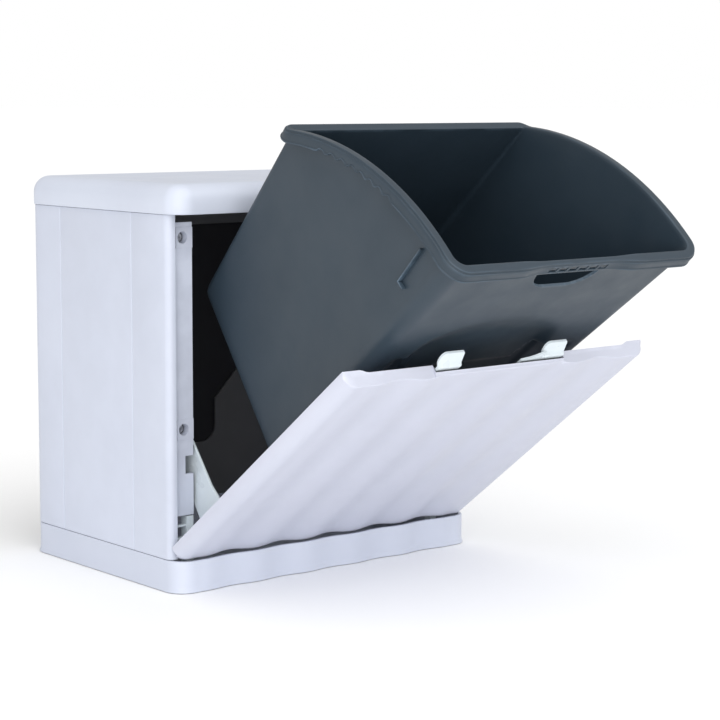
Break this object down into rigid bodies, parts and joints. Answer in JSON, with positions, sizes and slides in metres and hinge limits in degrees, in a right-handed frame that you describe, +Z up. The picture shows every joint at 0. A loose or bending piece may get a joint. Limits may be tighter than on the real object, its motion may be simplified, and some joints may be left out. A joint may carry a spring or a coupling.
{
  "type": "tilt-out waste bin cabinet",
  "caption": "White plastic recycling cabinet with a fluted door that tilts forward on foot pins and carries a slate grey lift-out bin.",
  "frame": {"origin": "middle of the rectangular footprint of the whole part as stored, on the floor", "axes": "+Z up, the door and the front face -Y, +X to the right seen from the front"},
  "size_m": [0.368, 0.5891, 0.4267],
  "materials": {
    "shell_plastic": "satin moulded polypropylene, cool white",
    "cover_plastic": "satin moulded polypropylene, cool white",
    "door_plastic": "satin moulded polypropylene, cool white, fluted",
    "clip_plastic": "smooth natural white polypropylene",
    "bin_plastic": "fine spark-eroded moulded polypropylene, slate grey",
    "rear_plastic": "dull dark sheet",
    "screw_steel": "zinc plated"
  },
  "bodies": {
    "cabinet": {"base": "shell_plastic", "cover": "cover_plastic", "side_panel_right": "shell_plastic", "side_panel_left": "shell_plastic", "front_post_right": "shell_plastic", "front_post_left": "shell_plastic", "lower_screw_right": "screw_steel", "lower_screw_left": "screw_steel", "upper_screw_right": "screw_steel", "upper_screw_left": "screw_steel", "hinge_bracket_right": "clip_plastic", "hinge_bracket_left": "clip_plastic", "back_frame": "shell_plastic", "rear_sheet": "rear_plastic"},
    "door": {"door_panel": "door_plastic", "door_cheek_right": "clip_plastic", "door_cheek_left": "clip_plastic", "hinge_pin_right": "screw_steel", "hinge_pin_left": "screw_steel", "snap_tab_left": "clip_plastic", "snap_tab_right": "clip_plastic"},
    "lifted_bin": {"bin": "bin_plastic"}
  },
  "joints": [
    {"name": "door_tilt", "type": "hinge", "parent": "cabinet", "child": "door", "pos_m": [0, -0.1188, 0.04], "axis": [1, 0, 0], "range_deg": [-52.4, 0], "deforming": ["snap_tab_left", "snap_tab_right"]},
    {"name": "bin_lift", "type": "slide", "parent": "door", "child": "lifted_bin", "axis": [0, -0.7923, 0.6101], "range_m": [-0.138, 0.63]}
  ],
  "couplings": [
    {"joint": "bin_lift", "follows": "door_tilt", "m_per_rad": -0.68}
  ]
}
